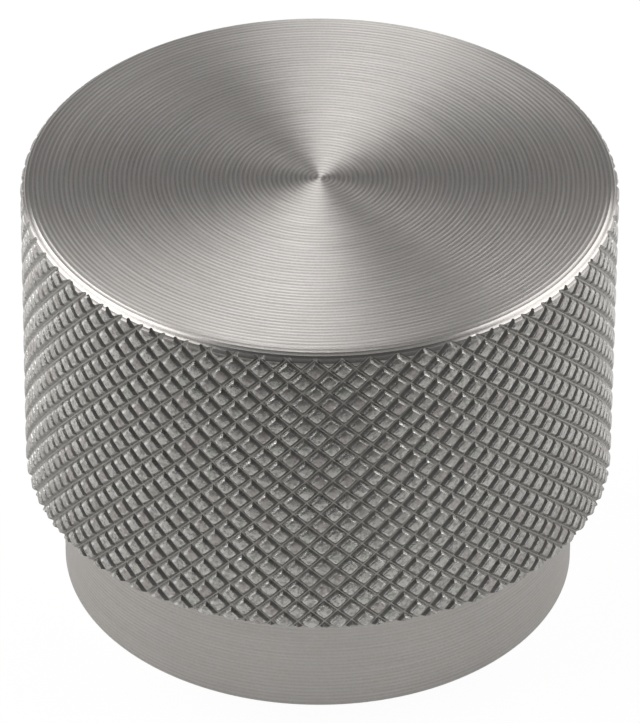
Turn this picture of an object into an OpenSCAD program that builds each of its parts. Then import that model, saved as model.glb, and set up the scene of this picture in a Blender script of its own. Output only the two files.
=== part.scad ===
// Knurled furniture knob.
// One turned piece of stainless steel: a wide head with a crossed diamond knurl and a rounded top
// edge, on a plain foot that is a little narrower, with a tapped blind hole up its axis.
// The knob stands on its foot: the origin is the middle of the bottom face and +Z is the axis.

/* [Head] */
// Diameter of the head over the lands of the knurl
head_d = 31; // [29:0.5:45]
// Height of the head
head_h = 17.3; // [8:0.1:30]
// Radius of the rounding between the top face and the knurl
edge_round = 0.65; // [0.3:0.05:1.5]

/* [Knurl] */
// Spacing of the grooves, measured square across them
knurl_pitch = 0.985; // [0.9:0.005:1.6]
// Width of a groove at its mouth
groove_w = 0.43; // [0.2:0.01:0.6]
// Angle between the two flanks of a groove
groove_angle = 90; // [70:1:110]
// Slant of the left-hand grooves from the axis of the knob
left_helix = 47.4; // [35:0.1:55]
// Slant of the right-hand grooves from the axis of the knob
right_helix = 43.3; // [35:0.1:55]

/* [Foot] */
// Diameter of the plain foot
foot_d = 27; // [16:0.5:28]
// Height of the foot under the head
foot_h = 6.7; // [3:0.1:15]

/* [Screw hole] */
// Diameter of the tapping drill, for an M4 thread
drill_d = 3.3; // [2.5:0.1:5]
// Depth of the full drill diameter, from the bottom face
drill_depth = 12; // [6:0.5:14]
// Angle of the drill point that ends the hole
drill_point = 118; // [90:1:140]
// Diameter of the countersink at the mouth
sink_d = 4.6; // [4.2:0.1:8]
// Angle of the countersink
sink_angle = 90; // [60:1:120]

/* [Hidden] */
$fn = 128;
EPS = 0.01;
steel = [0.70, 0.69, 0.67];

head_r = head_d / 2;
drill_r = drill_d / 2;
sink_h = (sink_d - drill_d) / 2 / tan(sink_angle / 2);
point_h = drill_r / tan(drill_point / 2);

// The knurl: two families of straight V grooves that wind round the head, one each way.
groove_slope = 1 / tan(groove_angle / 2);
groove_depth = groove_w / 2 * groove_slope;
floor_r = head_r - groove_depth;
apex_r = floor_r + knurl_pitch / 2 * groove_slope;
left_n = round(PI * head_d * cos(left_helix) / knurl_pitch);
right_n = round(PI * head_d * cos(right_helix) / knurl_pitch);
left_per_mm = sin(left_helix) / knurl_pitch;
right_per_mm = sin(right_helix) / knurl_pitch;
crossings = left_n * right_per_mm + right_n * left_per_mm;
// How far round the first groove of each family starts from the front of the head, in grooves.
left_start = 0.515;
right_start = 0.049;

// Where left groove i and right groove j cross, as a turn in degrees from the front (-Y) and a height.
function turn(i, j) = 360 * (right_per_mm * (i + left_start) + left_per_mm * (j + right_start)) / crossings;
function rise(i, j) = (right_n * (i + left_start) - left_n * (j + right_start)) / crossings;
function at(i, j, r) = [r * sin(turn(i, j)), -r * cos(turn(i, j)), rise(i, j)];

// Right grooves that cross the strip between left grooves i and i + 1: the knurl overshoots the
// head by a pitch at both ends, and the turning takes the rest off.
spare = 1 + ceil(knurl_pitch * crossings / left_n);
rows = ceil(head_h * crossings / left_n) + 2 * spare;
function first_row(i) = floor(right_n * i / left_n) + spare - rows;

// The head before it is turned: a four-sided pyramid on each diamond between the grooves.
module knurled_blank() {
    start = first_row(-1);
    feet = [for (i = [0 : left_n - 1]) for (j = [first_row(i - 1) : first_row(i) + rows]) at(i, j, floor_r)];
    tips = [for (i = [0 : left_n - 1]) for (k = [0 : rows - 1]) at(i + 0.5, first_row(i) + k + 0.5, apex_r)];
    ends = [[0, 0, head_h + apex_r], [0, 0, -apex_r]];
    top = len(feet) + len(tips);
    // Places in the list of points: the strip after the last one is the first strip again.
    function foot(i, j) = i < left_n ? i * (rows + 1) + j - start : j - right_n - start;
    function tip(i, j) = len(feet) + i * rows + j - first_row(i);
    flanks = [for (i = [0 : left_n - 1]) for (j = [first_row(i) : first_row(i) + rows - 1])
        let (ring = [foot(i, j), foot(i + 1, j), foot(i + 1, j + 1), foot(i, j + 1)])
        for (k = [0 : 3]) [ring[k], ring[(k + 1) % 4], tip(i, j)]];
    caps = [for (i = [0 : left_n - 1]) let (a = first_row(i), b = first_row(i + 1)) each [
        [foot(i + 1, a), foot(i, a), top],
        for (j = [a : 1 : b - 1]) [foot(i + 1, j + 1), foot(i + 1, j), top],
        [foot(i, a + rows), foot(i + 1, a + rows), top + 1],
        for (j = [a : 1 : b - 1]) [foot(i + 1, j + rows), foot(i + 1, j + rows + 1), top + 1]]];
    polyhedron(concat(feet, tips, ends), concat(flanks, caps));
}

// What the lathe leaves of the head: a disc with its top edge rounded over.
module turned_head() {
    rotate_extrude() {
        square([head_r - edge_round, head_h]);
        square([head_r, head_h - edge_round]);
        translate([head_r - edge_round, head_h - edge_round])
            circle(edge_round);
    }
}

module head() {
    intersection() {
        knurled_blank();
        turned_head();
    }
}

// Tapped blind hole: countersink, tapping-drill diameter and drill point.
module screw_hole() {
    translate([0, 0, -EPS])
        cylinder(h = drill_depth + EPS, r = drill_r);
    translate([0, 0, drill_depth])
        cylinder(h = point_h, r1 = drill_r, r2 = 0);
    translate([0, 0, -EPS])
        cylinder(h = sink_h + EPS, r1 = sink_d / 2 + EPS * tan(sink_angle / 2), r2 = drill_r);
}

module knob() {
    color(steel)
    difference() {
        union() {
            translate([0, 0, foot_h])
                head();
            cylinder(h = foot_h + EPS, d = foot_d);
        }
        screw_hole();
    }
}

knob();
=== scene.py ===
"""Furniture knob: a stainless turning with a crossed diamond knurl, dressed over its CAD solid.

The knob stands on its foot with its axis along +Z. Its sizes are in millimetres and its meshes in
metres. The lights, the floor and the scales of the noises go by the metre. The pieces are the
knurled head, the faced top, and the foot with its tapped hole.
"""

import logging
import math
from contextlib import contextmanager
from dataclasses import dataclass
from enum import Enum
from typing import Any, Callable, Iterator, Mapping, Optional, Sequence, Union

import bmesh
import bpy
from mathutils import Matrix, Vector


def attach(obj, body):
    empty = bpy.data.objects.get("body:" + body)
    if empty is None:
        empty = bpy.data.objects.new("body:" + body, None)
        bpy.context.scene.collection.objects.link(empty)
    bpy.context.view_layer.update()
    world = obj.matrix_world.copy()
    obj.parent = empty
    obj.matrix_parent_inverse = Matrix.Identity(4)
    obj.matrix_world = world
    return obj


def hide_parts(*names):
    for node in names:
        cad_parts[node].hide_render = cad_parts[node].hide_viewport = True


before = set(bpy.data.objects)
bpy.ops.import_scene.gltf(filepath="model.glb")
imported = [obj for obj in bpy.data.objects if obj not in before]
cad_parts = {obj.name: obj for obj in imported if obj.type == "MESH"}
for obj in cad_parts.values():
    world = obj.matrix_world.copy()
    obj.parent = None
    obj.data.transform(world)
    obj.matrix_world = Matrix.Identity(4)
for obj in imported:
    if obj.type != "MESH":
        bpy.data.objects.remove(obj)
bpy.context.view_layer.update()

MM = 0.001
TURN = 2.0 * math.pi
NODE = "knob"
BODY = "root"
RIPPLE_PARTS = 4

log = logging.getLogger("knob")

Number = Union[float, "Value"]
Point = tuple[float, float]
Window = tuple[float, float, float, float]
Colour = tuple[float, float, float]


# --- node trees ---


class Value:
    """A socket of a node tree that Python's operators work on: each adds one Math node."""

    def __init__(self, graph: "Graph", socket: bpy.types.NodeSocket) -> None:
        """Wraps one output socket of a tree."""
        self.graph = graph
        self.socket = socket

    def math(self, operation: str, *others: Number) -> "Value":
        """The result of a Math node on this value and others."""
        return self.graph.maths(operation, self, *others)

    def __add__(self, other: Number) -> "Value":
        """self + other."""
        return self.math("ADD", other)

    __radd__ = __add__

    def __sub__(self, other: Number) -> "Value":
        """self - other."""
        return self.math("SUBTRACT", other)

    def __rsub__(self, other: float) -> "Value":
        """other - self."""
        return self.graph.maths("SUBTRACT", other, self)

    def __mul__(self, other: Number) -> "Value":
        """self * other."""
        return self.math("MULTIPLY", other)

    __rmul__ = __mul__

    def __truediv__(self, other: Number) -> "Value":
        """self / other."""
        return self.math("DIVIDE", other)

    def __neg__(self) -> "Value":
        """-self."""
        return self.math("MULTIPLY", -1.0)

    def __abs__(self) -> "Value":
        """abs(self)."""
        return self.math("ABSOLUTE")

    def floor(self) -> "Value":
        """The whole number below."""
        return self.math("FLOOR")

    def fract(self) -> "Value":
        """What is left above the whole number below."""
        return self.math("FRACT")

    def step(self, low: float, high: float) -> "Value":
        """A smooth step, which is 0 below low and 1 above high."""
        inputs = {"Value": self, "From Min": low, "From Max": high}
        node = self.graph.node("ShaderNodeMapRange", {"interpolation_type": "SMOOTHSTEP"}, inputs)
        return self.graph.out(node, "Result")

    def window(self, stops: Window) -> "Value":
        """A smooth window: the stops are where it leaves 0, reaches 1, leaves 1 and is back at 0."""
        start, full, fade, end = stops
        return self.step(start, full) * (1.0 - self.step(fade, end))


class Graph:
    """Adds nodes to one tree, for materials and for geometry."""

    def __init__(self, tree: bpy.types.NodeTree) -> None:
        """Keeps the tree that the nodes go into."""
        self.tree = tree

    def node(
        self,
        kind: str,
        settings: Optional[Mapping[str, Any]] = None,
        inputs: Optional[Mapping[Union[str, int], Any]] = None,
    ) -> bpy.types.Node:
        """Adds one node.

        Args:
            kind: The node's type.
            settings: Its properties, which are set first.
            inputs: A number, colour, Value or socket for each input, by its place, identifier or name.

        Returns:
            The node.
        """
        node = self.tree.nodes.new(kind)
        for name, setting in (settings or {}).items():
            setattr(node, name, setting)
        for key, value in (inputs or {}).items():
            self.feed(self._find(node.inputs, key), value)
        return node

    def feed(self, socket: bpy.types.NodeSocket, value: Any) -> None:
        """Links a Value or an output socket to an input, or sets its number, colour or vector."""
        output = value.socket if isinstance(value, Value) else value
        if isinstance(output, bpy.types.NodeSocket):
            self.tree.links.new(output, socket)
        else:
            socket.default_value = output

    @staticmethod
    def _find(sockets: Sequence[bpy.types.NodeSocket], key: Union[str, int]) -> bpy.types.NodeSocket:
        """Finds a socket by its place, its identifier or its name."""
        return next((socket for socket in sockets if socket.identifier == key), None) or sockets[key]

    def out(self, node: bpy.types.Node, key: Union[str, int] = 0) -> Value:
        """An output of a node, by its place, identifier or name."""
        return Value(self, self._find(node.outputs, key))

    def maths(self, operation: str, *values: Number) -> Value:
        """The result of a Math node on values, in order."""
        return self.out(self.node("ShaderNodeMath", {"operation": operation}, dict(enumerate(values))))

    def vector(self, x: Number, y: Number, z: Number) -> Value:
        """Three numbers as one vector."""
        return self.out(self.node("ShaderNodeCombineXYZ", {}, {0: x, 1: y, 2: z}))

    def noise(
        self, place: Value, scale: Number, detail: float, roughness: float, output: str = "Fac"
    ) -> Value:
        """Soft noise round 0.5.

        Args:
            place: Where it is read.
            scale: Lumps per unit of place.
            detail: How many finer layers it has.
            roughness: How strong the finer layers are.
            output: "Fac" for one number, or "Color" for three that differ.

        Returns:
            The noise.
        """
        inputs = {"Vector": place, "Scale": scale, "Detail": detail, "Roughness": roughness}
        return self.out(self.node("ShaderNodeTexNoise", {"noise_dimensions": "3D"}, inputs), output)

    def blend(self, factor: Number, first: Union[Value, Colour], second: Union[Value, Colour]) -> Value:
        """Mixes two colours, from the first at a factor of 0 to the second at 1."""
        a, b = (side if isinstance(side, Value) else (*side, 1.0) for side in (first, second))
        inputs = {"Factor_Float": factor, "A_Color": a, "B_Color": b}
        return self.out(self.node("ShaderNodeMix", {"data_type": "RGBA"}, inputs), "Result_Color")


def empty_tree(owner: Union[bpy.types.Material, bpy.types.World]) -> bpy.types.NodeTree:
    """The node tree of a material or a world, with nothing in it yet."""
    owner.use_nodes = True
    owner.node_tree.nodes.clear()
    return owner.node_tree


# --- finishes ---


class MetalGraph(Graph):
    """A metal's tree: a Principled shader, and the places on the knob that its patterns read."""

    def __init__(self, name: str) -> None:
        """Starts a material of that name, whose tree holds the shader and the coordinates."""
        self.material = bpy.data.materials.new(name)
        super().__init__(empty_tree(self.material))
        self.shader = self.node("ShaderNodeBsdfPrincipled", {}, {"Metallic": 1.0})
        self.node("ShaderNodeOutputMaterial", {}, {"Surface": self.shader.outputs["BSDF"]})
        self.place = self.out(self.node("ShaderNodeTexCoord"), "Object")
        axes = self.node("ShaderNodeSeparateXYZ", {}, {0: self.place})
        self.x, self.y, self.z = (self.out(axes, n) * (1.0 / MM) for n in range(3))

    def radius(self) -> Value:
        """Distance from the axis, in mm."""
        return (self.x * self.x + self.y * self.y).math("SQRT")

    def turn(self) -> Value:
        """Angle round the axis from the front, in turns."""
        return self.x.math("ARCTAN2", -self.y) * (1.0 / TURN)

    def set(self, **inputs: Any) -> None:
        """Sets inputs of the shader, with underscores for spaces in their names."""
        for name, value in inputs.items():
            self.feed(self.shader.inputs[name.replace("_", " ")], value)

    def bump(self, height: Value, distance: float) -> Value:
        """The normal of a relief, where distance is the real height of 1, in mm."""
        relief = {"Height": height, "Strength": 1.0, "Distance": distance * MM}
        return self.out(self.node("ShaderNodeBump", {}, relief), "Normal")


@dataclass(frozen=True)
class Flecks:
    """Soft spots of another colour in a finish.

    Attributes:
        scale: Spots to the metre.
        detail: How many finer layers they have.
        roughness: How strong the finer layers are.
        low: Noise where a spot begins.
        high: Noise where it is full.
        strength: How much of its colour a full spot takes on.
        colour: Colour of the spots.
    """

    scale: float
    detail: float
    roughness: float
    low: float
    high: float
    strength: float
    colour: Colour

    def noise(self, graph: MetalGraph) -> Value:
        """The noise that the spots follow."""
        return graph.noise(graph.place, self.scale, self.detail, self.roughness)

    def over(self, graph: MetalGraph, base: Union[Value, Colour], noise: Value) -> Value:
        """A colour with the spots over it, where their noise reaches low."""
        return graph.blend(noise.step(self.low, self.high) * self.strength, base, self.colour)


class Lay(Enum):
    """Which way the lines of a turned face follow one another."""

    OUTWARD = "outward"
    UPWARD = "upward"


@dataclass(frozen=True)
class TurnedSteel:
    """Steel from the lathe: fine lines that run round the axis, on a satin shine.

    Of two numbers, the first says where something begins and the second where it is full.

    Attributes:
        name: The material's name.
        dark: Colour in the lines.
        light: Colour between them.
        lay: Which way the lines follow one another.
        ring: Spacing of the tool's rings, in mm.
        first: Where the first of them lies, as a radius or a height.
        ring_share: How much of the pattern the rings give. The fine lines give the rest.
        line: Spacing of the fine lines, in mm.
        contrast: Noise of a fine line.
        drift: How far the fine lines change on their way round, in mm.
        depth: Height of the fine lines in the bump, in mm.
        flecks: Pale grain, a warm tint and grey clouds, one over another.
        roughness: Roughness of the satin.
        rim: Radii of the rougher outer part, in mm.
        rim_roughness: How much rougher it is.
        anisotropy: How far the lines stretch the shine across themselves.
        grain_turn: Turn of the stretched shine, in turns.
    """

    name: str
    dark: Colour = (0.41, 0.385, 0.365)
    light: Colour = (0.85, 0.805, 0.775)
    lay: Lay = Lay.OUTWARD
    ring: float = 14.73 / 59
    first: float = 14.85
    ring_share: float = 0.55
    line: float = 0.05
    contrast: Point = (0.3, 0.7)
    drift: float = 0.1
    depth: float = 0.00020
    flecks: tuple[Flecks, ...] = (
        Flecks(9000.0, 2.0, 0.6, 0.35, 0.75, 0.28, (0.86, 0.85, 0.83)),
        Flecks(900.0, 1.0, 0.5, 0.35, 0.70, 0.10, (0.62, 0.56, 0.50)),
        Flecks(260.0, 2.0, 0.5, 0.30, 0.75, 0.12, (0.50, 0.52, 0.52)),
    )
    roughness: float = 0.276
    rim: Point = (9.0, 14.8)
    rim_roughness: float = 0.03
    anisotropy: float = 0.8
    grain_turn: float = 0.25

    def make(self) -> bpy.types.Material:
        """Builds the material.

        Returns:
            The material, which reads its patterns from Object coordinates.
        """
        graph = MetalGraph(self.name)
        reach = graph.radius()
        across = graph.z if self.lay is Lay.UPWARD else reach
        east, north = graph.x / reach * self.drift, graph.y / reach * self.drift
        streaks = graph.noise(graph.vector(across, east, north), 1.0 / self.line, 3.0, 0.6)
        rings = abs(((across - self.first) * (1.0 / self.ring)).fract() - 0.5).step(0.0, 0.5)
        fine = streaks.step(*self.contrast) * (1.0 - self.ring_share)
        colour = graph.blend(fine + rings * self.ring_share, self.dark, self.light)
        for flecks in self.flecks:
            colour = flecks.over(graph, colour, flecks.noise(graph))
        graph.set(
            Base_Color=colour,
            Roughness=reach.step(*self.rim) * self.rim_roughness + self.roughness,
            Anisotropic=self.anisotropy,
            Anisotropic_Rotation=self.grain_turn,
            Normal=graph.bump(streaks, self.depth),
        )
        return graph.material


@dataclass(frozen=True)
class KnurledSteel:
    """Steel pressed by the knurling wheels: mottled lands, grooves painted darker as shade, and painted
    highlights on the pressed edges.

    Depths are parts of a groove's depth, and places are parts of the way from one groove of a family
    to the next. Of two numbers, the first says where something begins and the second where it is full.

    Attributes:
        name: The material's name.
        land: Colour of the lands.
        pits: Dark pits on them.
        grain: Pale grain over the pits.
        cloud: Greenish clouds over a few lands at a time.
        dull: Colour that lands take on by chance.
        dull_share: How much of it, at most.
        pink: Colour that a few lands take on besides.
        pink_share: How much of it, at most.
        pink_odds: Chance of it.
        groove: Darker colour of the grooves' flanks: painted shade in the grooves.
        flank: Depth of that colour.
        line: Colour along the bottom of the grooves, less dark than the flanks: a painted light line within
            the painted shade.
        bottom: Depth of that colour.
        edge_glints: Painted highlights on the pressed edges, spots of brighter colour that the painted
            corner glints share.
        pressed: Depths of the pressed edges.
        glint_along: Places of the glint on a land's left corner, between left grooves.
        glint_over: The same between right grooves.
        glint_odds: Chance of a glint.
        burr_fade: Places between left grooves where the burr falls away.
        burr_rise: Places between right grooves where it rises.
        relief: Heights of the pits, the grain and the burr in the bump.
        relief_depth: Real height of 1 in the bump, in mm.
        roughness: Roughness of the lands.
        unevenness: How far the pits and chance change it.
        polish: How much smoother the painted highlights on the edges and corners are.
    """

    name: str
    land: Colour = (0.77, 0.75, 0.715)
    pits: Flecks = Flecks(5200.0, 3.0, 0.65, 0.42, 0.66, 1.0, (0.40, 0.385, 0.365))
    grain: Flecks = Flecks(15000.0, 2.0, 0.6, 0.50, 0.75, 0.6, (0.82, 0.81, 0.79))
    cloud: Flecks = Flecks(1400.0, 1.0, 0.5, 0.45, 0.65, 0.22, (0.44, 0.48, 0.40))
    dull: Colour = (0.34, 0.33, 0.32)
    dull_share: float = 0.3
    pink: Colour = (0.50, 0.40, 0.38)
    pink_share: float = 0.25
    pink_odds: Point = (0.55, 1.0)
    groove: Colour = (0.40, 0.39, 0.37)
    flank: Point = (0.2, 0.5)
    line: Colour = (0.47, 0.46, 0.43)
    bottom: Point = (0.92, 0.99)
    edge_glints: Flecks = Flecks(4200.0, 1.0, 0.5, 0.56, 0.66, 0.7, (0.92, 0.91, 0.89))
    pressed: Window = (0.02, 0.12, 0.22, 0.5)
    glint_along: Window = (0.18, 0.24, 0.38, 0.60)
    glint_over: Window = (0.18, 0.23, 0.30, 0.38)
    glint_odds: Point = (-0.3, 0.3)
    burr_fade: Point = (0.20, 1.00)
    burr_rise: Point = (0.20, 0.34)
    relief: tuple[float, float, float] = (0.7, 0.3, 1.4)
    relief_depth: float = 0.03
    roughness: float = 0.30
    unevenness: Point = (0.3, 0.10)
    polish: float = 0.10

    def make(self, lattice: "Lattice") -> bpy.types.Material:
        """Builds the material.

        Args:
            lattice: The grooves, so that each diamond has a shade of its own.

        Returns:
            The material.
        """
        graph = MetalGraph(self.name)
        turn, height = graph.turn(), graph.z - lattice.base
        left = turn * lattice.left_n + height * lattice.left_per_mm - lattice.left_start
        right = turn * lattice.right_n - height * lattice.right_per_mm - lattice.right_start
        diamond = graph.vector(left.floor().math("MODULO", float(lattice.left_n)), right.floor(), 0.0)
        dice = graph.node("ShaderNodeTexWhiteNoise", {"noise_dimensions": "3D"}, {"Vector": diamond})
        chance = graph.out(dice, "Value")
        pits, grain = self.pits.noise(graph), self.grain.noise(graph)
        depth = (lattice.head_r - graph.radius()) * (1.0 / lattice.depth)

        colour = self.pits.over(graph, self.land, pits)
        colour = self.grain.over(graph, colour, grain)
        colour = graph.blend(chance * self.dull_share, colour, self.dull)
        colour = graph.blend(chance.step(*self.pink_odds) * self.pink_share, colour, self.pink)
        colour = self.cloud.over(graph, colour, self.cloud.noise(graph))
        # Painted shade: the grooves are painted darker with depth, and a little less dark along their
        # bottom.
        colour = graph.blend(depth.step(*self.flank), colour, self.groove)
        colour = graph.blend(depth.step(*self.bottom), colour, self.line)

        # Painted highlights: the pressed edges and the left corners of the lands get a brighter colour and
        # less roughness, standing in for glints of light.
        edge_glints = self.edge_glints
        edge = depth.window(self.pressed) * edge_glints.noise(graph).step(edge_glints.low, edge_glints.high)
        along, over = left.fract(), right.fract()
        corner = along.window(self.glint_along) * over.window(self.glint_over)
        glint = corner * chance.step(*self.glint_odds)
        burr = (1.0 - along.step(*self.burr_fade)) * over.step(*self.burr_rise)
        uneven = (pits - 0.5) * self.unevenness[0] + (chance - 0.5) * self.unevenness[1]
        relief = pits * self.relief[0] + grain * self.relief[1] + burr * self.relief[2]
        graph.set(
            Base_Color=graph.blend((edge * edge_glints.strength).math("MAXIMUM", glint), colour, edge_glints.colour),
            Roughness=self.roughness + uneven - (edge + glint) * self.polish,
            Normal=graph.bump(relief, self.relief_depth),
        )
        return graph.material


# --- meshes ---


def add(name: str, data: bpy.types.ID) -> bpy.types.Object:
    """Puts a mesh, a light or a camera in the scene, at the origin."""
    thing = bpy.data.objects.new(name, data)
    bpy.context.scene.collection.objects.link(thing)
    return thing


@contextmanager
def editing(mesh: bpy.types.Mesh) -> Iterator[bmesh.types.BMesh]:
    """Opens a mesh as a BMesh and writes it back at the end."""
    work = bmesh.new()
    work.from_mesh(mesh)
    yield work
    work.to_mesh(mesh)
    work.free()


def grid_mesh(
    name: str, rows: Sequence[Sequence[Vector]], wrap: bool, finish: Callable[[int], int] = lambda row: 0
) -> bpy.types.Mesh:
    """Joins rows of points by quads, and closes an end row of one point as a pole.

    Args:
        name: The mesh's name.
        rows: Rows of equally many points, or of one point at a pole, in mm.
        wrap: Whether the last row joins the first.
        finish: Material index of the faces above each row.

    Returns:
        The mesh, in metres, with its faces outwards.
    """
    points: list[Vector] = []
    firsts: list[int] = []
    for row in rows:
        firsts.append(len(points))
        points.extend(point * MM for point in row)
    faces: list[tuple[int, ...]] = []
    marks: list[int] = []
    for n in range(len(rows) if wrap else len(rows) - 1):
        upper = (n + 1) % len(rows)
        low, high, a, b = rows[n], rows[upper], firsts[n], firsts[upper]
        count = max(len(low), len(high))
        for k in range(count):
            m = (k + 1) % count
            corners = (a + k % len(low), a + m % len(low), b + m % len(high), b + k % len(high))
            faces.append(tuple(dict.fromkeys(corners)))
            marks.append(finish(n))
    mesh = bpy.data.meshes.new(name)
    mesh.from_pydata(points, [], faces)
    mesh.polygons.foreach_set("material_index", marks)
    with editing(mesh) as work:
        bmesh.ops.recalc_face_normals(work, faces=work.faces)
    return mesh


def ring(radius: float, height: float, segments: int) -> list[Vector]:
    """A row of points round the axis, or the one point of a pole where the radius is 0."""
    if not radius:
        return [Vector((0.0, 0.0, height))]
    angles = [TURN * k / segments for k in range(segments)]
    return [Vector((radius * math.cos(angle), radius * math.sin(angle), height)) for angle in angles]


def lathe(name: str, profile: Sequence[Point], segments: int, closed: bool = False) -> bpy.types.Mesh:
    """Turns a profile round the axis.

    Args:
        name: The mesh's name.
        profile: Radius and height of each point, in mm. A radius of 0 is a pole.
        segments: Number of sides.
        closed: Whether the last point joins the first, for a ring.

    Returns:
        The mesh.
    """
    return grid_mesh(name, [ring(r, z, segments) for r, z in profile], closed)


def ripples(start: Point, end: Point, count: int, height: float) -> list[Point]:
    """A straight cut with the marks of the tool: shallow hollows with a crest between each two.

    Args:
        start: First point of the cut, as radius and height.
        end: Last point.
        count: Number of hollows, which have RIPPLE_PARTS points each.
        height: Height of the crests over the hollows, which are cut out to the right of the path.

    Returns:
        The points, without the last one.
    """
    (r0, z0), (r1, z1) = start, end
    length = math.hypot(r1 - r0, z1 - z0)
    nr, nz = -(z1 - z0) / length, (r1 - r0) / length
    points: list[Point] = []
    for n in range(count * RIPPLE_PARTS):
        share = n / (count * RIPPLE_PARTS)
        lift = -height * math.sin(math.pi * (n % RIPPLE_PARTS) / RIPPLE_PARTS)
        points.append((r0 + (r1 - r0) * share + nr * lift, z0 + (z1 - z0) * share + nz * lift))
    return points


def smooth_by_angle(mesh: bpy.types.Mesh, degrees: float) -> None:
    """Shades a mesh smooth, except over edges sharper than an angle."""
    for polygon in mesh.polygons:
        polygon.use_smooth = True
    limit = math.radians(degrees)
    with editing(mesh) as work:
        for edge in work.edges:
            edge.smooth = not edge.is_manifold or edge.calc_face_angle(0.0) < limit


def dress(mesh: bpy.types.Mesh, crease: float, *materials: bpy.types.Material) -> bpy.types.Object:
    """Puts a finished mesh in the scene as a piece, and says what it stands for.

    Args:
        mesh: The mesh, which gives the piece its name.
        crease: Angle over which an edge stays sharp, in degrees.
        materials: Its materials, by index.

    Returns:
        The piece.
    """
    smooth_by_angle(mesh, crease)
    piece = add(mesh.name, mesh)
    marks = [polygon.material_index for polygon in mesh.polygons]
    mesh.materials.clear()
    for material in materials:
        mesh.materials.append(material)
    mesh.polygons.foreach_set("material_index", marks)
    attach(piece, BODY)
    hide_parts(NODE)
    log.info("%s: %d faces", piece.name, len(mesh.polygons))
    return piece


# --- the knob ---


@dataclass
class Lattice:
    """The two families of grooves, as they are counted and spaced on the head.

    Attributes:
        head_r: Radius over the lands.
        pitch: Spacing of the grooves, square across them.
        left_helix: Slant of the left-hand grooves from the axis, in degrees.
        right_helix: Slant of the right-hand grooves.
        left_start: Where the first left-hand groove lies, in grooves from the front.
        right_start: Where the first right-hand groove lies.
        depth: Depth of the grooves.
        base: Height of the head's lower face.
    """

    head_r: float = 15.5
    pitch: float = 0.985
    left_helix: float = 47.4
    right_helix: float = 43.3
    left_start: float = 0.515
    right_start: float = 0.049
    depth: float = 0.185
    base: float = 6.7

    def __post_init__(self) -> None:
        """Works out the counts from the sizes."""
        around = TURN * self.head_r
        slants = math.radians(self.left_helix), math.radians(self.right_helix)
        self.left_n, self.right_n = (round(around * math.cos(slant) / self.pitch) for slant in slants)
        self.left_per_mm, self.right_per_mm = (math.sin(slant) / self.pitch for slant in slants)
        self.crossings = self.left_n * self.right_per_mm + self.right_n * self.left_per_mm

    def at(self, left: float, right: float, radius: float) -> Vector:
        """A point by its count of grooves of each family.

        Args:
            left: Grooves of the left-hand family from the crossing at the front.
            right: Grooves of the right-hand family.
            radius: Distance from the axis.

        Returns:
            The point, with the crossing at the front at height 0.
        """
        turn = TURN * (self.right_per_mm * left + self.left_per_mm * right) / self.crossings
        rise = (self.right_n * left - self.left_n * right) / self.crossings
        return Vector((radius * math.sin(turn), -radius * math.cos(turn), rise))


@dataclass(frozen=True)
class TopEdge:
    """The head's top edge: the flat top falls away in a soft shoulder, which runs into the rounding.

    Attributes:
        top: Height of the rim of the top, where the shoulder begins.
        start: Radius where the shoulder begins.
        seam: Radius where it meets the rounding, and where the top's disc meets the head's ring.
        slope: Steepness of the shoulder at the seam.
        crown: How far the middle of the top stands over its rim.
        outer: Radius of the head.
        wide: Half width of the ellipse that the rounding follows.
        tall: Half height of that ellipse.
    """

    top: float = 24.0
    start: float = 14.3
    seam: float = 14.85
    slope: float = 0.11
    crown: float = 0.12
    outer: float = 15.5
    wide: float = 0.748
    tall: float = 0.625

    def drop(self, radius: float) -> float:
        """How far the top lies under the height of its rim at a radius."""
        past = max(0.0, radius - self.start)
        crowned = self.crown * (1 - (radius / self.seam) ** 2)
        return self.slope * past * past / (2 * (self.seam - self.start)) - crowned

    def _lean(self) -> float:
        """Angle on the ellipse, from upright, where the rounding meets the shoulder."""
        return math.asin(1 - (self.outer - self.seam) / self.wide)

    def side_top(self) -> float:
        """Height where the side of the head ends and the rounding begins."""
        return self.top - self.drop(self.seam) - self.tall * math.cos(self._lean())

    def rounding(self, share: float, hollow: float) -> Point:
        """A point of the rounding.

        Args:
            share: Part of the way from the side of the head up to the seam.
            hollow: Depth of the tool's mark there.

        Returns:
            The point, as radius and height.
        """
        quarter = math.pi / 2
        angle = quarter + (self._lean() - quarter) * share
        return (
            self.outer - self.wide + (self.wide - hollow) * math.sin(angle),
            self.side_top() + (self.tall - hollow) * math.cos(angle),
        )


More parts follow.
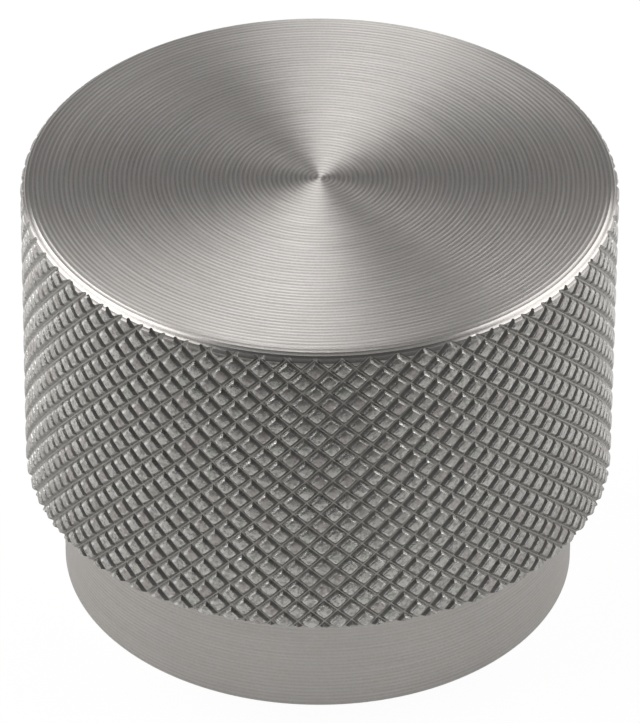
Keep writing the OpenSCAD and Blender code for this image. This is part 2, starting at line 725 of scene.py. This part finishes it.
@dataclass
class KnurledHead:
    """The head's band: knurled lands, the turned rounding over them, and the face under them.

    Attributes:
        lattice: The grooves.
        edge: Form of the top edge.
        inner: Inner radius of the ring, which the rest of the knob fills.
        foot_r: Radius of the foot, where the face under the knurl begins.
        lip: Height of the top face's disc, which sits in the ring.
        floor: Half the width of a groove's flat bottom, in pitches.
        flank: Half the width of its mouth, in pitches.
        brow: Where the pressed edge of a land ends, in pitches from the groove.
        crown: How far the land's rim lies under the cylinder.
        brow_share: Part of that which is left at the brow.
        bulge: How far a land's rim swells out between its corners, in pitches.
        tool_marks: Number of turned rings on the rounding.
        mark_depth: Depth of the hollows between them.
        wear: Spread of the knurl's corners round their places.
        wear_scale: Changes of that to the metre.
        weld: Distance within which the diamonds' corners are joined.
        clear: How far the turned form stands off the lands.
        overrun: How far the points that close the blank lie past the head.
        crease: Angle over which an edge stays sharp, in degrees.
        segments: Number of sides of the turned form.
    """

    lattice: Lattice
    edge: TopEdge
    inner: float = 12.0
    foot_r: float = 13.5
    lip: float = 0.5
    floor: float = 0.032
    flank: float = 0.212
    brow: float = 0.30
    crown: float = 0.032
    brow_share: float = 0.2
    bulge: float = 0.03
    tool_marks: int = 5
    mark_depth: float = 0.018
    wear: float = 0.03
    wear_scale: float = 2600.0
    weld: float = 0.002
    clear: float = 0.4
    overrun: float = 3.0
    crease: float = 28.0
    segments: int = 256

    def cell_mesh(self) -> bpy.types.Mesh:
        """One diamond with its grooves, on the cylinder at the crossing (0, 0).

        Returns:
            The mesh.
        """
        lattice, brow_low = self.lattice, self.crown * self.brow_share
        stops = [
            (-self.floor, lattice.depth),
            (self.floor, lattice.depth),
            (self.flank, self.crown),
            (self.brow, brow_low),
            (1 - self.brow, brow_low),
            (1 - self.flank, self.crown),
            (1 - self.floor, lattice.depth),
        ]
        size = len(stops)
        brows, rims = (3, 4), {2: -self.bulge, 5: self.bulge}

        def place(own: int, other: int) -> float:
            """Where a stop of one family lies: a land's rim swells outwards between the brows."""
            return stops[own][0] + (rims.get(own, 0.0) if other in brows else 0.0)

        points = [
            lattice.at(place(n, k), place(k, n), lattice.head_r - max(stops[n][1], stops[k][1])) * MM
            for n in range(size)
            for k in range(size)
        ]
        faces = [
            (n * size + k, (n + 1) * size + k, (n + 1) * size + k + 1, n * size + k + 1)
            for n in range(size - 1)
            for k in range(size - 1)
        ]
        mesh = bpy.data.meshes.new("diamond")
        mesh.from_pydata(points, [], [tri for face in faces for tri in self._split(face, size)])
        with editing(mesh) as work:
            if sum(face.normal.y for face in work.faces) > 0:
                bmesh.ops.reverse_faces(work, faces=work.faces)
        return mesh

    @staticmethod
    def _split(face: tuple[int, int, int, int], size: int) -> list[tuple[int, ...]]:
        """Cuts a corner quad along the crease between its two flanks, and leaves the others whole."""
        n, k = divmod(face[0], size)
        flanks = (1, size - 2)
        if n in flanks and k in flanks:
            if n == k:
                return [(face[0], face[1], face[2]), (face[0], face[2], face[3])]
            return [(face[0], face[1], face[3]), (face[1], face[2], face[3])]
        return [face]

    @staticmethod
    def tree(sizes: Mapping[str, Union[int, float, bpy.types.Material]]) -> bpy.types.NodeTree:
        """The tree that sets the diamond on every place of the lattice.

        Args:
            sizes: What its inputs are for, by name, besides the diamond itself.

        Returns:
            The geometry tree.
        """
        tree = bpy.data.node_groups.new("Knurl", "GeometryNodeTree")
        for side in ("OUTPUT", "INPUT"):
            tree.interface.new_socket("Geometry", in_out=side, socket_type="NodeSocketGeometry")
        kinds = {int: "NodeSocketInt", float: "NodeSocketFloat"}
        for name, size in sizes.items():
            kind = kinds.get(type(size), "NodeSocketMaterial")
            tree.interface.new_socket(name, in_out="INPUT", socket_type=kind)
        graph = Graph(tree)
        inputs = graph.node("NodeGroupInput")
        given = {socket.name: Value(graph, socket) for socket in inputs.outputs if socket.name}
        left_n, right_n, rows = given["Left grooves"], given["Right grooves"], given["Rows"]
        left_mm, right_mm = given["Left per mm"], given["Right per mm"]
        index = graph.out(graph.node("GeometryNodeInputIndex"))
        strip = (index / rows).floor()
        row = index - strip * rows
        first = (right_n * strip / left_n).floor() + given["Spare rows"] - rows
        left = strip + given["Left start"]
        right = first + row + given["Right start"]
        crossings = left_n * right_mm + right_n * left_mm
        turn = (right_mm * left + left_mm * right) / crossings * TURN
        rise = (right_n * left - left_n * right) / crossings + given["Base"]

        def step(kind: str, **inputs: Value) -> Value:
            """The geometry that a node makes of its inputs."""
            return graph.out(graph.node(f"GeometryNode{kind}", {}, inputs))

        places = step("Points", Count=left_n * rows, Position=graph.vector(0.0, 0.0, rise * MM))
        turned = graph.vector(0.0, 0.0, turn)
        diamonds = step("InstanceOnPoints", Points=places, Instance=given["Geometry"], Rotation=turned)
        real = step("RealizeInstances", Geometry=diamonds)
        welded = step("MergeByDistance", Geometry=real, Distance=given["Weld"] * MM)
        position = graph.out(graph.node("GeometryNodeInputPosition"))
        stray = graph.noise(position, given["Wear scale"], 1.0, 0.5, "Color")
        middle = {0: stray, 1: (0.5, 0.5, 0.5)}
        offset = graph.out(graph.node("ShaderNodeVectorMath", {"operation": "SUBTRACT"}, middle))
        spread = {0: offset, "Scale": given["Wear"] * MM}
        scaled = graph.out(graph.node("ShaderNodeVectorMath", {"operation": "SCALE"}, spread))
        worn = step("SetPosition", Geometry=welded, Offset=scaled)
        graph.node("NodeGroupOutput", {}, {0: step("SetMaterial", Geometry=worn, Material=given["Finish"])})
        return tree

    def blank(self, finish: bpy.types.Material) -> bpy.types.Mesh:
        """The knurled bar the head is turned from, a little longer than the head, closed at its ends.

        Args:
            finish: Material of the knurl.

        Returns:
            The mesh.
        """
        lattice = self.lattice
        per_mm = lattice.crossings / lattice.left_n
        spare = 1 + math.ceil(lattice.pitch * per_mm)
        rows = math.ceil((self.edge.top - lattice.base) * per_mm) + 2 * spare
        sizes = {
            "Left grooves": lattice.left_n,
            "Right grooves": lattice.right_n,
            "Rows": rows,
            "Spare rows": spare,
            "Left per mm": lattice.left_per_mm,
            "Right per mm": lattice.right_per_mm,
            "Left start": lattice.left_start,
            "Right start": lattice.right_start,
            "Base": lattice.base,
            "Wear": self.wear,
            "Wear scale": self.wear_scale,
            "Weld": self.weld,
            "Finish": finish,
        }
        maker = add("knurl_maker", self.cell_mesh())
        modifier = maker.modifiers.new("Knurl", "NODES")
        modifier.node_group = self.tree(sizes)
        for item in modifier.node_group.interface.items_tree:
            if item.in_out == "INPUT" and item.name in sizes:
                modifier[item.identifier] = sizes[item.name]
        mesh = plain_mesh(maker, "knurl_blank")
        bpy.data.objects.remove(maker)
        self._close_ends(mesh)
        return mesh

    def _close_ends(self, mesh: bpy.types.Mesh) -> None:
        """Closes both open ends of the knurl with a fan to a point on the axis.

        Args:
            mesh: The open tube, which is changed.
        """
        top, base = self.edge.top, self.lattice.base
        heights = {True: top + self.overrun, False: base - self.overrun}
        middle = (top + base) / 2 * MM
        with editing(mesh) as work:
            poles = {upper: work.verts.new((0.0, 0.0, z * MM)) for upper, z in heights.items()}
            for edge in [edge for edge in work.edges if edge.is_boundary]:
                first, second = edge.verts
                if edge.link_loops[0].vert is first:
                    first, second = second, first
                work.faces.new((first, second, poles[edge.verts[0].co.z > middle]))

    def turned_form(self) -> bpy.types.Mesh:
        """The ring that the lathe leaves: the knurl lies inside its side, and its rounding cuts it.

        Returns:
            The mesh.
        """
        low, clear = self.lattice.base, self.lattice.head_r + self.clear
        profile: list[Point] = [(self.inner, low), (self.foot_r, low), (clear, low)]
        profile.append((clear, self.edge.side_top()))
        steps = self.tool_marks * RIPPLE_PARTS
        for n in range(steps + 1):
            hollow = self.mark_depth * math.sin(math.pi * (n % RIPPLE_PARTS) / RIPPLE_PARTS)
            profile.append(self.edge.rounding(n / steps, hollow))
        bed = self.edge.top - self.lip
        profile += [(self.edge.seam, bed), (self.inner, bed)]
        return lathe("turned_form", profile, self.segments, closed=True)

    def build(self, knurled: KnurledSteel, turned: TurnedSteel) -> bpy.types.Object:
        """Turns the knurled blank to the head's form and dresses it.

        Args:
            knurled: Finish of the knurl.
            turned: Finish of the turned faces.

        Returns:
            The piece.
        """
        knurl, plain = knurled.make(self.lattice), turned.make()
        head = add("head_blank", self.blank(knurl))
        head.data.materials.clear()
        head.data.materials.append(knurl)
        form = add("head_form", self.turned_form())
        form.data.materials.append(plain)
        cut = head.modifiers.new("Turn", "BOOLEAN")
        cut.operation = "INTERSECT"
        cut.solver = "MANIFOLD"
        cut.object = form
        cut.material_mode = "TRANSFER"
        mesh = plain_mesh(head, "head_knurl")
        for scrap in (head, form):
            bpy.data.objects.remove(scrap)
        return dress(mesh, self.crease, knurl, plain)


def plain_mesh(piece: bpy.types.Object, name: str) -> bpy.types.Mesh:
    """The mesh of a piece with its modifiers applied.

    Args:
        piece: The piece.
        name: Name of the mesh.

    Returns:
        A new mesh.
    """
    graph = bpy.context.evaluated_depsgraph_get()
    graph.update()
    mesh = bpy.data.meshes.new_from_object(piece.evaluated_get(graph), depsgraph=graph)
    mesh.name = name
    return mesh


@dataclass
class TopFace:
    """The faced top: a disc of turned rings round a small pip.

    Attributes:
        edge: Form of the top edge.
        thick: Thickness of the disc, which sits in the head's ring.
        rings: Number of turned rings.
        ring_height: Height of their crests.
        pip: Radius of the pip the tool leaves in the middle.
        groove: How far the groove round the pip lies under the middle of the top.
        pip_low: How far the pip itself does.
        crease: Angle over which an edge stays sharp, in degrees.
        segments: Number of sides.
    """

    edge: TopEdge
    thick: float = 0.5
    rings: int = 59
    ring_height: float = 0.0110
    pip: float = 0.12
    groove: float = 0.012
    pip_low: float = 0.004
    crease: float = 7.5
    segments: int = 192

    def build(self, turned: TurnedSteel) -> bpy.types.Object:
        """Builds and dresses the disc.

        Args:
            turned: Its finish.

        Returns:
            The piece.
        """
        top, seam = self.edge.top, self.edge.seam
        profile: list[Point] = [(0.0, top - self.thick), (seam, top - self.thick)]
        marks = ripples((seam, top), (self.pip, top), self.rings, self.ring_height)
        profile += [(r, 2 * top - z - self.edge.drop(r)) for r, z in marks]
        middle = top + self.edge.crown
        profile += [
            (self.pip, middle),
            (self.pip / 2, middle - self.groove),
            (0.0, middle - self.pip_low),
        ]
        return dress(lathe("top_face", profile, self.segments), self.crease, turned.make())


@dataclass
class Foot:
    """The plain foot, the core over it, and the tapped hole up its axis.

    Attributes:
        radius: Radius of the foot.
        height: Height of the foot.
        core_r: Radius of the core inside the head.
        core_top: Height of the core.
        rings: Number of turned rings up the side.
        ring_height: Height of their crests.
        corner: Size of the corner that is broken at the foot's lower edge.
        face_rings: Number of turned rings on the bottom.
        face_ring_height: Height of their crests.
        drill_r: Radius of the tapping drill.
        thread_r: Radius at the bottom of the thread.
        thread_pitch: Rise of the thread in a turn.
        thread_rows: Rows of points in a turn of the thread.
        thread_flat: Part of the pitch that is flat at the thread's crest, and at its root.
        thread_stop: How far under the end of the full diameter the thread ends.
        thread_ease: Height over which it runs out there.
        hole_depth: Depth of the full drill diameter.
        drill_point: Angle of the drill's point, in degrees.
        sink_r: Radius of the countersink at the mouth.
        crease: Angle over which an edge stays sharp, in degrees.
        segments: Number of sides.
    """

    radius: float = 13.5
    height: float = 6.7
    core_r: float = 12.0
    core_top: float = 23.5
    rings: int = 29
    ring_height: float = 0.014
    corner: float = 0.05
    face_rings: int = 48
    face_ring_height: float = 0.003
    drill_r: float = 1.65
    thread_r: float = 2.0
    thread_pitch: float = 0.7
    thread_rows: int = 8
    thread_flat: float = 0.125
    thread_stop: float = 1.2
    thread_ease: float = 0.7
    hole_depth: float = 12.0
    drill_point: float = 118.0
    sink_r: float = 2.3
    crease: float = 13.0
    segments: int = 192

    def _thread_radius(self, height: float, turn: float) -> float:
        """Radius of the hole's wall at a height and a part of a turn."""
        ease = min(1.0, max(0.0, (self.hole_depth - self.thread_stop - height) / self.thread_ease))
        saw = abs(((height / self.thread_pitch - turn) % 1.0) - 0.5) * 2.0
        share = min(1.0, max(0.0, (saw - self.thread_flat) / (1.0 - 2.0 * self.thread_flat)))
        return self.drill_r + (self.thread_r - self.drill_r) * share * ease

    def hole_rows(self) -> list[list[Vector]]:
        """Rows of the hole, from the drill's point down to the countersink.

        Returns:
            Rows of points, the first of them the pole.
        """
        tip = self.hole_depth + self.drill_r / math.tan(math.radians(self.drill_point / 2))
        rows = [[Vector((0.0, 0.0, tip))]]
        sink = self.sink_r - self.drill_r
        count = round(self.hole_depth / (self.thread_pitch / self.thread_rows))
        for n in range(count + 1):
            z = self.hole_depth * (1 - n / count)
            row = []
            for k in range(self.segments):
                share = k / self.segments
                wall = max(self._thread_radius(z, share), self.sink_r - z if z < sink else 0.0)
                row.append(Vector((wall * math.cos(TURN * share), wall * math.sin(TURN * share), z)))
            rows.append(row)
        return rows

    def build(self, side: TurnedSteel, face: TurnedSteel) -> bpy.types.Object:
        """Builds and dresses the foot.

        Args:
            side: Finish of the side.
            face: Finish of the bottom and the hole.

        Returns:
            The piece.
        """
        toe = self.radius - self.corner
        bottom = ripples((self.sink_r, 0.0), (toe, 0.0), self.face_rings, self.face_ring_height)
        outline: list[Point] = [(r, -z) for r, z in bottom][1:]
        outline += [(toe, 0.0)]
        marks = ripples((self.radius, self.corner), (self.radius, self.height), self.rings, self.ring_height)
        outline += [(2 * self.radius - r, z) for r, z in marks]
        outline += [
            (self.radius, self.height),
            (self.core_r, self.height),
            (self.core_r, self.core_top),
            (0.0, self.core_top),
        ]
        rows = self.hole_rows()
        rim = len(rows) + len(bottom) - 1
        rows += [ring(r, z, self.segments) for r, z in outline]
        mesh = grid_mesh("foot", rows, False, lambda row: int(row < rim))
        return dress(mesh, self.crease, side.make(), face.make())


# --- the studio ---


@dataclass(frozen=True)
class Softbox:
    """A flat soft light that faces the knob.

    Attributes:
        name: Its name.
        bearing: Direction it stands in, in degrees from the front towards +X.
        height: Angle above the floor, in degrees.
        distance: Distance from the knob, in metres.
        width: Width, in metres.
        tall: Height, in metres.
        glow: Brightness of its face, where 1 is white.
    """

    name: str
    bearing: float
    height: float
    distance: float
    width: float
    tall: float
    glow: float

    def build(self, middle: Vector) -> None:
        """Adds the light.

        Args:
            middle: The point that it faces, in metres.
        """
        lamp = bpy.data.lights.new(self.name, "AREA")
        lamp.shape = "RECTANGLE"
        lamp.size, lamp.size_y = self.width, self.tall
        lamp.energy = self.glow * self.width * self.tall * math.pi
        around, up = math.radians(self.bearing), math.radians(self.height)
        towards = Vector((math.sin(around) * math.cos(up), -math.cos(around) * math.cos(up), math.sin(up)))
        turn = towards.to_track_quat("Z", "Y").to_matrix().to_4x4()
        add(self.name, lamp).matrix_world = Matrix.Translation(middle + towards * self.distance) @ turn


def grey(level: float) -> Colour:
    """A grey of a given brightness."""
    return (level, level, level)


@dataclass(frozen=True)
class Floor:
    """The pale floor: paper with the knob's shadow, under a white glow that the metal sees graded.

    Places are distances along +Y in metres, where something begins and where it is full.

    Attributes:
        reach: Half its width, in metres.
        paper: Colour of the paper, which takes the shadow.
        glow: Brightness of the glow.
        camera_share: Share of the glow for the camera.
        mirror_share: Share for the metal in front, and how much less it is further back.
        back: Places of that loss.
        mirror_contact_shadow: What the metal's share is multiplied by, and how much less it is next to the
            knob: a painted contact shadow in the glow that the metal sees.
        near: Distances from the middle, in metres, between which the floor stops being close.
        behind: Places where being close counts.
        fade: Places where the glow in the metal passes from black to white.
    """

    reach: float = 6.0
    paper: Colour = (0.62, 0.62, 0.61)
    glow: float = 1.1
    camera_share: float = 0.86
    mirror_share: Point = (0.9, 0.4)
    back: Point = (-0.09, -0.015)
    mirror_contact_shadow: Point = (1.05, 0.55)
    near: Point = (0.014, 0.032)
    behind: Point = (-0.020, -0.006)
    fade: Point = (-0.10, 0.04)

    def build(self) -> None:
        """Adds the floor with its material."""
        mesh = bpy.data.meshes.new("floor")
        corners = [(x * self.reach, y * self.reach, 0.0) for x, y in ((-1, -1), (1, -1), (1, 1), (-1, 1))]
        mesh.from_pydata(corners, [], [(0, 1, 2, 3)])
        floor = add("floor", mesh)
        material = bpy.data.materials.new("pale_floor")
        graph = Graph(empty_tree(material))
        rays = graph.node("ShaderNodeLightPath")
        place = graph.out(graph.node("ShaderNodeTexCoord"), "Object")
        ahead = graph.out(graph.node("ShaderNodeSeparateXYZ", {}, {0: place}), 1)
        away = graph.out(graph.node("ShaderNodeVectorMath", {"operation": "LENGTH"}, {0: place}), "Value")
        mirrored = graph.out(rays, "Is Glossy Ray")
        # Painted contact shadow: next to the knob and behind it the metal sees less of the glow, which casts
        # no shadow of its own.
        painted_contact_shadow = (1.0 - away.step(*self.near)) * ahead.step(*self.behind)
        (front, loss), (far, shadow_drop) = self.mirror_share, self.mirror_contact_shadow
        share = mirrored * (front - loss * ahead.step(*self.back)) * (far - shadow_drop * painted_contact_shadow)
        seen = graph.out(rays, "Is Camera Ray") * self.camera_share + share
        shade = graph.blend(ahead.step(*self.fade), grey(0.0), grey(1.0))
        paper = graph.node("ShaderNodeBsdfDiffuse", {}, {"Color": (*self.paper, 1.0)})
        tint = graph.blend(mirrored, grey(1.0), shade)
        white = graph.node("ShaderNodeEmission", {}, {"Color": tint, "Strength": self.glow})
        mixed = graph.node("ShaderNodeMixShader", {}, {0: seen, 1: paper.outputs[0], 2: white.outputs[0]})
        graph.node("ShaderNodeOutputMaterial", {}, {"Surface": mixed.outputs[0]})
        mesh.materials.append(material)


@dataclass(frozen=True)
class Room:
    """The room, white to the camera. The metal sees it darker, above all high up in front.

    Attributes:
        front: Brightness low down in front of the knob.
        overhead: Brightness high up in front of it.
        back: Brightness behind it.
        turn: Parts of the way to +Y between which the front passes into the back.
        rise: Parts of the way up between which low passes into high.
    """

    front: float = 0.22
    overhead: float = 0.05
    back: float = 0.19
    turn: Point = (-0.6, 0.8)
    rise: Point = (0.15, 0.60)

    def build(self) -> None:
        """Sets the room as the scene's world."""
        world = bpy.data.worlds.new("room")
        bpy.context.scene.world = world
        graph = Graph(empty_tree(world))
        way = graph.out(graph.node("ShaderNodeTexCoord"), "Generated")
        axes = graph.node("ShaderNodeSeparateXYZ", {}, {0: way})
        behind, above = graph.out(axes, 1).step(*self.turn), graph.out(axes, 2).step(*self.rise)
        camera = graph.out(graph.node("ShaderNodeLightPath"), "Is Camera Ray")
        ahead = graph.blend(above, grey(self.front), grey(self.overhead))
        mirrored = graph.blend(behind, ahead, grey(self.back))
        colour = graph.blend(camera, mirrored, grey(1.0))
        back = graph.node("ShaderNodeBackground", {}, {"Color": colour, "Strength": 1.0})
        graph.node("ShaderNodeOutputWorld", {}, {"Surface": back.outputs[0]})


@dataclass(frozen=True)
class Camera:
    """A long lens that looks down on the knob from the front.

    Attributes:
        lens: Focal length, in mm.
        sensor: Size of the picture's longer side on the sensor, in mm.
        target: The point it looks at, in mm.
        distance: Distance from the target, in mm.
        elevation: Angle of the view above the floor, in degrees.
        roll: Turn of the camera about its line of sight, in degrees.
        clip: Nearest and farthest distances it sees, in metres.
    """

    lens: float = 372.7051
    sensor: float = 36.0
    target: tuple[float, float, float] = (0.0608, 0.0, 12.323)
    distance: float = 393.615
    elevation: float = 36.265
    roll: float = 0.334
    clip: Point = (0.01, 20.0)

    def build(self) -> None:
        """Adds the camera and makes it the scene's own."""
        data = bpy.data.cameras.new("camera")
        data.sensor_width = self.sensor
        data.lens = self.lens
        data.clip_start, data.clip_end = self.clip
        eye = add("camera", data)
        up, roll = math.radians(self.elevation), math.radians(self.roll)
        back = Vector((0.0, -math.cos(up), math.sin(up)))
        place = (Vector(self.target) + back * self.distance) * MM
        right = Vector((1.0, 0.0, 0.0))
        above = back.cross(right)
        turned_right = right * math.cos(roll) + above * math.sin(roll)
        turned_up = above * math.cos(roll) - right * math.sin(roll)
        axes = Matrix((turned_right, turned_up, back)).transposed().to_4x4()
        eye.matrix_world = Matrix.Translation(place) @ axes
        bpy.context.scene.camera = eye


@dataclass(frozen=True)
class Studio:
    """The camera, the floor, the room and the lights.

    Attributes:
        middle: The point the lights face, in metres.
        lights: The soft lights: one on each side, one overhead, and two behind the knob for the
            bright fans on its top.
    """

    middle: tuple[float, float, float] = (0.0, 0.0, 0.012)
    lights: tuple[Softbox, ...] = (
        Softbox("left_box", -101.0, 39.0, 0.50, 0.60, 0.50, 2.1),
        Softbox("right_box", 109.0, 36.0, 0.50, 0.58, 0.48, 1.8),
        Softbox("top_box", 180.0, 86.0, 0.60, 0.50, 0.20, 0.4),
        Softbox("back_box", 178.0, 14.0, 0.60, 0.10, 0.19, 1.9),
        Softbox("high_box", -175.0, 55.0, 0.60, 0.10, 0.17, 2.6),
    )

    def build(self) -> None:
        """Sets up the whole studio."""
        for part in (Camera(), Floor(), Room()):
            part.build()
        for light in self.lights:
            light.build(Vector(self.middle))
        bpy.context.scene.view_settings.view_transform = "Standard"


def main() -> None:
    """Builds the knob piece by piece, then the studio round it."""
    logging.basicConfig(level=logging.INFO, format="%(name)s: %(message)s")
    edge = TopEdge()
    # Painted shade: the rounding gets a darker copy of the faced steel, so that it mirrors the side lights
    # less brightly.
    edge_steel_painted_darker = TurnedSteel("edge_steel_painted_darker", dark=(0.48, 0.45, 0.43), light=(0.66, 0.63, 0.60))
    foot_steel = TurnedSteel(
        "foot_steel",
        dark=(0.55, 0.52, 0.495),
        light=(0.735, 0.70, 0.67),
        lay=Lay.UPWARD,
        ring=6.65 / 29,
        first=0.05,
    )
    KnurledHead(Lattice(), edge).build(KnurledSteel("knurled_steel"), edge_steel_painted_darker)
    TopFace(edge).build(TurnedSteel("faced_steel"))
    Foot().build(foot_steel, TurnedSteel("bottom_steel"))
    Studio().build()


if __name__ == "__main__":
    main()
